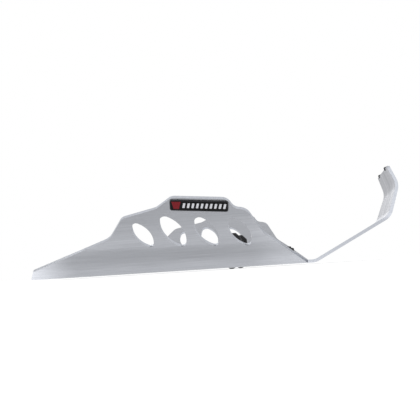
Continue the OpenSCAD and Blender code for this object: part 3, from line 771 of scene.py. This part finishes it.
# %% [markdown]
# The thread that stands out of each nut is a real ridge, not a texture, so that it still reads up
# close and in the exported mesh. A rod of many rings is pushed outwards by a triangle wave that
# climbs one pitch for each turn, which is the rule of a thread. Near its end the wave fades, as a
# rolled thread does.

# %% A tree for threaded rods
FULL_TURN = 2 * math.pi
RINGS_A_TURN = 8


def threaded_rod_tree():
    tree, given = start_tree("threaded_rods", [
        "Core Radius", "Crest", "Pitch", "Length", "Run Out", "Spacing"])
    turns = add(tree, "ShaderNodeMath", {"operation": "DIVIDE"}, {
        0: given["Length"], 1: given["Pitch"]}).outputs[0]
    rings = add(tree, "ShaderNodeMath", {"operation": "MULTIPLY"}, {
        0: turns, 1: RINGS_A_TURN}).outputs[0]
    rod = add(tree, "GeometryNodeMeshCylinder", {"fill_type": "NGON"}, {
        "Vertices": 24, "Side Segments": rings, "Radius": given["Core Radius"],
        "Depth": given["Length"]})
    place = add(tree, "GeometryNodeInputPosition").outputs[0]
    at = add(tree, "ShaderNodeSeparateXYZ", inputs={"Vector": place}).outputs
    angle = add(tree, "ShaderNodeMath", {"operation": "ARCTAN2"}, {0: at["Y"], 1: at["X"]})
    turned = add(tree, "ShaderNodeMath", {"operation": "DIVIDE"}, {
        0: angle.outputs[0], 1: FULL_TURN}).outputs[0]
    climbed = add(tree, "ShaderNodeMath", {"operation": "DIVIDE"}, {
        0: at["Z"], 1: given["Pitch"]}).outputs[0]
    phase = add(tree, "ShaderNodeMath", {"operation": "SUBTRACT"}, {
        0: climbed, 1: turned}).outputs[0]
    # A ping-pong of a half climbs from 0 to 0.5 and back once a turn
    wave = add(tree, "ShaderNodeMath", {"operation": "PINGPONG"}, {0: phase, 1: 0.5}).outputs[0]
    half = add(tree, "ShaderNodeMath", {"operation": "MULTIPLY"}, {
        0: given["Length"], 1: 0.5}).outputs[0]
    to_end = add(tree, "ShaderNodeMath", {"operation": "SUBTRACT"}, {
        0: half, 1: at["Z"]}).outputs[0]
    fade = add(tree, "ShaderNodeMath", {"operation": "DIVIDE", "use_clamp": True}, {
        0: to_end, 1: given["Run Out"]}).outputs[0]
    ridge = add(tree, "ShaderNodeMath", {"operation": "MULTIPLY"}, {0: wave, 1: fade}).outputs[0]
    depth = add(tree, "ShaderNodeMath", {"operation": "DIVIDE"}, {
        0: given["Crest"], 1: given["Core Radius"]}).outputs[0]
    rise = add(tree, "ShaderNodeMath", {"operation": "MULTIPLY"}, {0: ridge, 1: depth}).outputs[0]
    factor = add(tree, "ShaderNodeMath", {"operation": "MULTIPLY_ADD"}, {
        0: rise, 1: 2.0, 2: 1.0}).outputs[0]
    outwards = add(tree, "ShaderNodeCombineXYZ", inputs={"X": factor, "Y": factor, "Z": 1.0})
    pushed = add(tree, "ShaderNodeVectorMath", {"operation": "MULTIPLY"}, {
        0: place, 1: outwards.outputs[0]})
    threaded = add(tree, "GeometryNodeSetPosition", inputs={
        "Geometry": rod.outputs[0], "Position": pushed.outputs[0]})
    step = add(tree, "ShaderNodeCombineXYZ", inputs={"Y": given["Spacing"]})
    line = add(tree, "GeometryNodeMeshLine", {"mode": "OFFSET"}, {
        "Count": given["Count"], "Offset": step.outputs[0]})
    pair = add(tree, "GeometryNodeInstanceOnPoints", inputs={
        "Points": line.outputs[0], "Instance": threaded.outputs[0]})
    end_tree(tree, given, pair.outputs[0])
    return tree


# %% Threads of the bracket screws
# M5 coarse thread: 0.8 mm pitch, 5 mm over the crests
CREST_RADIUS, CORE_RADIUS, THREAD_PITCH = 2.5 * MM, 2.02 * MM, 0.8 * MM
THREAD_START, RUN_OUT = 2.4 * MM, 1.0 * MM

screw_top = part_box("bracket_screws")[1].z
thread_length = screw_top - THREAD_START
thread_mesh = grow(threaded_rod_tree(), {
    "Count": 2, "Spacing": screw_middles[-1].y - screw_middles[0].y, "Core Radius": CORE_RADIUS,
    "Crest": CREST_RADIUS - CORE_RADIUS, "Pitch": THREAD_PITCH, "Length": thread_length,
    "Run Out": RUN_OUT, "Material": black_zinc})
thread_mesh.transform(Matrix.Translation((
    screw_middles[0].x, screw_middles[0].y, THREAD_START + thread_length / 2)))
print("thread length in mm:", round(thread_length / MM, 1))

# %% [markdown]
# The screw's head keeps the CAD shape. Its plain shank is drawn in until it is thinner than the
# thread's core, and ends below it, so that only the thread shows.

# %% Bracket screws
SHANK_FROM, SHANK_SHARE = 2.0 * MM, 0.7
HEAD_BREAK = 0.2 * MM

screws = merged("bracket_screws")
for vert in screws.verts:
    if vert.co.z > SHANK_FROM:
        axis = min(screw_middles, key=lambda p: abs(p.y - vert.co.y))
        vert.co.x = axis.x + SHANK_SHARE * (vert.co.x - axis.x)
        vert.co.y = axis.y + SHANK_SHARE * (vert.co.y - axis.y)
        if vert.co.z > screw_top - SHANK_FROM:
            vert.co.z = screw_top - SHANK_FROM
break_edges(screws, HEAD_BREAK)
screws.from_mesh(thread_mesh)
bracket_screws = finish_piece("bracket_screw_pair", screws, [black_zinc], ["bracket_screws"])
print("screw pair:", len(bracket_screws.data.polygons), "faces")

# %% [markdown]
# ## Floor and light
# The photograph is cut out on white. The floor is a plain white sheet, partly white by itself to
# the camera and to reflections, so it fills the picture and still takes the plate's soft shadow.
# The light path tells one kind of ray from another, and metal that looks at the floor must see the
# same white as the camera does.

# %% Floor
FLOOR_HALF, FLOOR_GAP = 20.0, 0.02 * MM
FLOOR_WHITE = 0.6

floor_z = cad_low.z - FLOOR_GAP
floor_mesh = bpy.data.meshes.new("floor")
floor_mesh.from_pydata([(-FLOOR_HALF, -FLOOR_HALF, floor_z), (FLOOR_HALF, -FLOOR_HALF, floor_z),
                        (FLOOR_HALF, FLOOR_HALF, floor_z), (-FLOOR_HALF, FLOOR_HALF, floor_z)],
                       [], [(0, 1, 2, 3)])
floor = bpy.data.objects.new("floor", floor_mesh)
bpy.context.collection.objects.link(floor)
print("floor at", round(floor_z / MM, 2), "mm")

# %% Floor material
floor_material = bpy.data.materials.new("white_floor_sheet")
floor_material.use_nodes = True
tree = floor_material.node_tree
tree.nodes.clear()
path = add(tree, "ShaderNodeLightPath").outputs
seen = add(tree, "ShaderNodeMath", {"operation": "MAXIMUM"},
           {0: path["Is Camera Ray"], 1: path["Is Glossy Ray"]}).outputs[0]
seen = add(tree, "ShaderNodeMath", {"operation": "MAXIMUM"},
           {0: seen, 1: path["Is Transmission Ray"]}).outputs[0]
share = add(tree, "ShaderNodeMath", {"operation": "MULTIPLY"},
            {0: seen, 1: FLOOR_WHITE}).outputs[0]
pale = add(tree, "ShaderNodeBsdfDiffuse", inputs={"Color": (1, 1, 1, 1)}).outputs[0]
white = add(tree, "ShaderNodeEmission", inputs={"Strength": 1.0}).outputs[0]
mixed = add(tree, "ShaderNodeMixShader", inputs={0: share, 1: pale, 2: white}).outputs[0]
add(tree, "ShaderNodeOutputMaterial", inputs={"Surface": mixed})
floor.data.materials.append(floor_material)
print("white share of the floor:", FLOOR_WHITE)

# %% [markdown]
# A white world of strength one lights everything evenly, so every colour renders about as it is
# written. It is also the white backdrop behind the plate, straight and in reflections.

# %% World
world = bpy.data.worlds.new("white_studio")
bpy.context.scene.world = world
world.use_nodes = True
tree = world.node_tree
tree.nodes.clear()
background = add(tree, "ShaderNodeBackground", inputs={"Color": (1, 1, 1, 1), "Strength": 1.0})
add(tree, "ShaderNodeOutputWorld", inputs={"Surface": background.outputs[0]})
print("world:", world.name)

# %% [markdown]
# Even light alone makes a folded sheet look flat. Two large soft lamps, one from the front right
# and one from behind, give the folds their direction.

# %% Soft lamps
LAMP_SIZE = 1.4


def soft_lamp(name, place, watts):
    """A square lamp that points at the middle of the plate."""
    data = bpy.data.lights.new(name, "AREA")
    data.shape, data.size, data.energy = "SQUARE", LAMP_SIZE, watts
    lamp = bpy.data.objects.new(name, data)
    lamp.location = place
    lamp.rotation_euler = ((cad_low + cad_high) / 2 - place).to_track_quat("-Z", "Y").to_euler()
    bpy.context.collection.objects.link(lamp)
    print(name, "lamp at", round(place.length, 2), "m")


soft_lamp("key", Vector((0.9, -1.5, 1.5)), 6)
soft_lamp("back", Vector((-0.5, 1.4, 1.2)), 9)

# %% [markdown]
# The outer sides of the plate face down, and they mirror what lies below them. In the photograph
# their reflection is brighter in places, which draws the fold between flank and wing as a soft
# step. A card of light on the white sheet under each side does this. Its brightness varies over
# the card: a colour ramp across it for the bands, and one along it for the ends.

# %% Where the card is bright
# Brightness at a distance from the plate's middle line, and at a place along the plate, in metres
CARD_FROM, CARD_TO = -0.30, 0.32
CARD_INNER, CARD_OUTER = 0.06, 0.19
CARD_GAP = 0.2 * MM
ACROSS = [(0.075, 0.0), (0.090, 0.45), (0.115, 0.45), (0.125, 0.12), (0.142, 0.10), (0.156, 0.60),
          (0.165, 0.50), (0.178, 0.0)]
ENDS = [(-0.25, 0.7), (-0.19, 0.45), (-0.12, 0.0), (0.10, 0.0), (0.15, 0.13), (0.30, 0.15)]
ENDS_STRENGTH = 2.0


def on_card(stops, start, end):
    """Stops in metres as colour ramp stops, from 0 to 1 over the card."""
    return [((at - start) / (end - start), (level, level, level, 1.0)) for at, level in stops]


across_stops = on_card(ACROSS, CARD_INNER, CARD_OUTER)
end_stops = on_card(ENDS, CARD_FROM, CARD_TO)
print("card in mm:", round((CARD_TO - CARD_FROM) / MM), "x", round((CARD_OUTER - CARD_INNER) / MM))

# %% Light cards


def light_card(name, side):
    """A card of light on the floor under one side of the plate, facing up."""
    data = bpy.data.lights.new(name, "AREA")
    data.shape = "RECTANGLE"
    data.size, data.size_y = CARD_TO - CARD_FROM, CARD_OUTER - CARD_INNER
    # With this energy an emission strength of one is as bright as white
    data.energy = math.pi * data.size * data.size_y
    data.use_nodes = True
    tree = data.node_tree
    tree.nodes.clear()
    place = add(tree, "ShaderNodeNewGeometry").outputs["Parametric"]
    split = add(tree, "ShaderNodeSeparateXYZ", inputs={"Vector": place}).outputs
    across = add(tree, "ShaderNodeValToRGB", {"stops": across_stops}, {"Fac": split["Y"]})
    ends = add(tree, "ShaderNodeValToRGB", {"stops": end_stops}, {"Fac": split["X"]})
    for curve in (across, ends):
        curve.color_ramp.interpolation = "EASE"
    total = add(tree, "ShaderNodeMath", {"operation": "MULTIPLY_ADD"}, {
        0: ends.outputs["Color"], 1: ENDS_STRENGTH, 2: across.outputs["Color"]})
    glow = add(tree, "ShaderNodeEmission", inputs={"Strength": total.outputs[0]})
    add(tree, "ShaderNodeOutputLight", inputs={"Surface": glow.outputs[0]})
    card = bpy.data.objects.new(name, data)
    card.location = ((CARD_FROM + CARD_TO) / 2, side * (CARD_INNER + CARD_OUTER) / 2,
                     floor_z + CARD_GAP)
    # Turned over to face up; the left card is mirrored, so both are alike from the middle outwards
    card.rotation_euler = (math.pi, 0, 0)
    card.scale = (1, -side, 1)
    card.visible_camera = False
    bpy.context.collection.objects.link(card)
    print(name, "on the", "right" if side < 0 else "left")


light_card("card_right", -1)
light_card("card_left", 1)

bpy.context.scene.view_settings.view_transform = "Standard"
